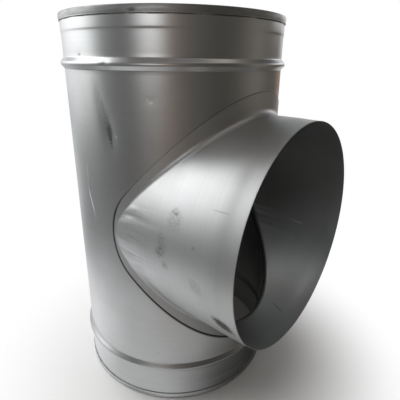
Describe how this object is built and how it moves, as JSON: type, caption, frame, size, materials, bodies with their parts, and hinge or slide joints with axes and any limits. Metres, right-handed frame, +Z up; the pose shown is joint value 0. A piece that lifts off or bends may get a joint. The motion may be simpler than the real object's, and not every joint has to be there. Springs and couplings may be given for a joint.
{
  "type": "duct tee",
  "caption": "Equal sheet-metal duct tee: a straight round run with hemmed, beaded ends and a pressed saddle collar that turns a branch off at a right angle.",
  "frame": {"origin": "centre of the lower end of the run, on the run's axis, in the plane that the tee stands on", "axes": "+Z up along the run, +X along the branch towards its mouth"},
  "size_m": [0.245, 0.204, 0.3476],
  "materials": {
    "galvanised_sheet": "zinc-coated steel sheet, semi-bright, with handling scratches, a dark scuff and dust at the hems"
  },
  "bodies": {
    "root": {"main_tube": "galvanised_sheet", "branch_collar": "galvanised_sheet"}
  },
  "joints": []
}
